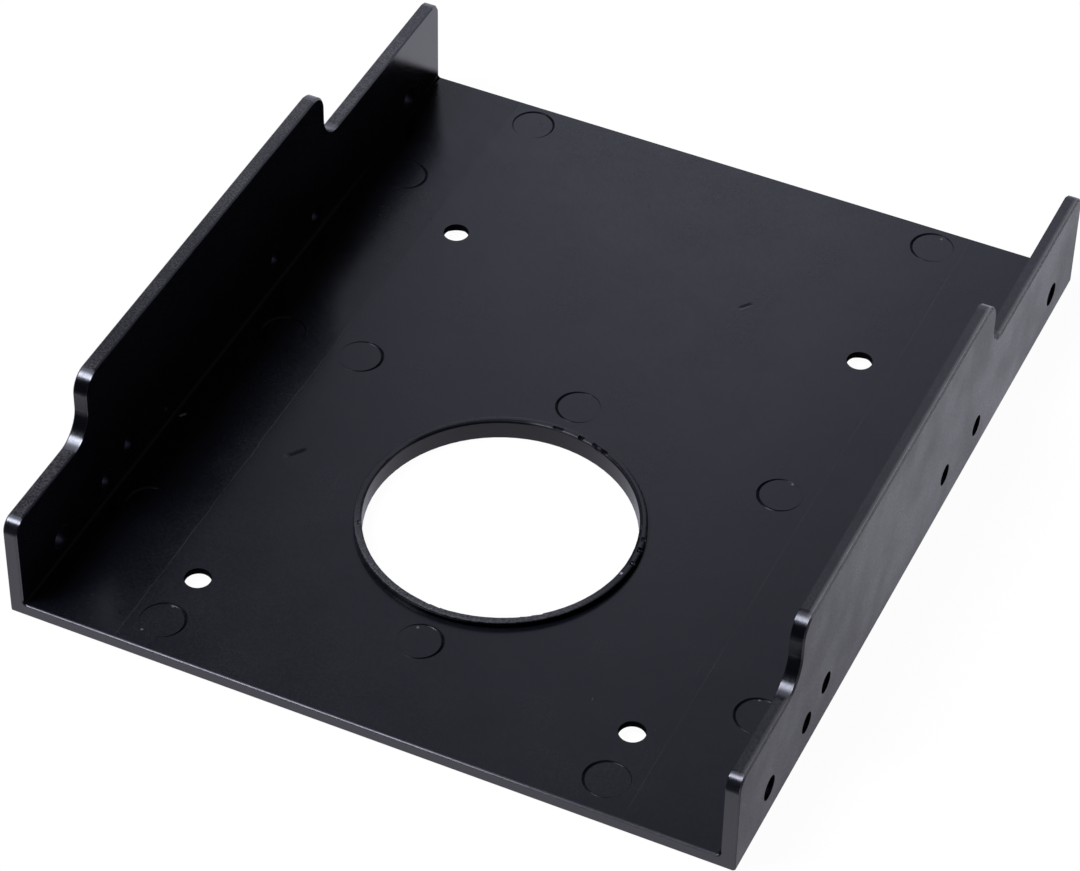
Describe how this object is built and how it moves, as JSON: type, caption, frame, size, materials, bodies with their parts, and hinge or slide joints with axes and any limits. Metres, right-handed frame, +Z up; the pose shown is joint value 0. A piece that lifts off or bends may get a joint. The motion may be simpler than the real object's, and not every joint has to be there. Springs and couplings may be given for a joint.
{
  "type": "drive bay adapter bracket",
  "caption": "Moulded plastic tray with side walls, screw holes and a round collared opening, which fits a small drive into a larger bay.",
  "frame": {"origin": "middle of the underside, on the surface that the tray rests on", "axes": "+X across the tray to its right wall, +Y along the tray from the end with the round opening to the other end, +Z up from the underside, along the walls"},
  "size_m": [0.1016, 0.1216, 0.0252],
  "materials": {
    "body": "black moulded plastic, satin to glossy, with a faint grain"
  },
  "bodies": {
    "root": {"bracket": "body"}
  },
  "joints": []
}
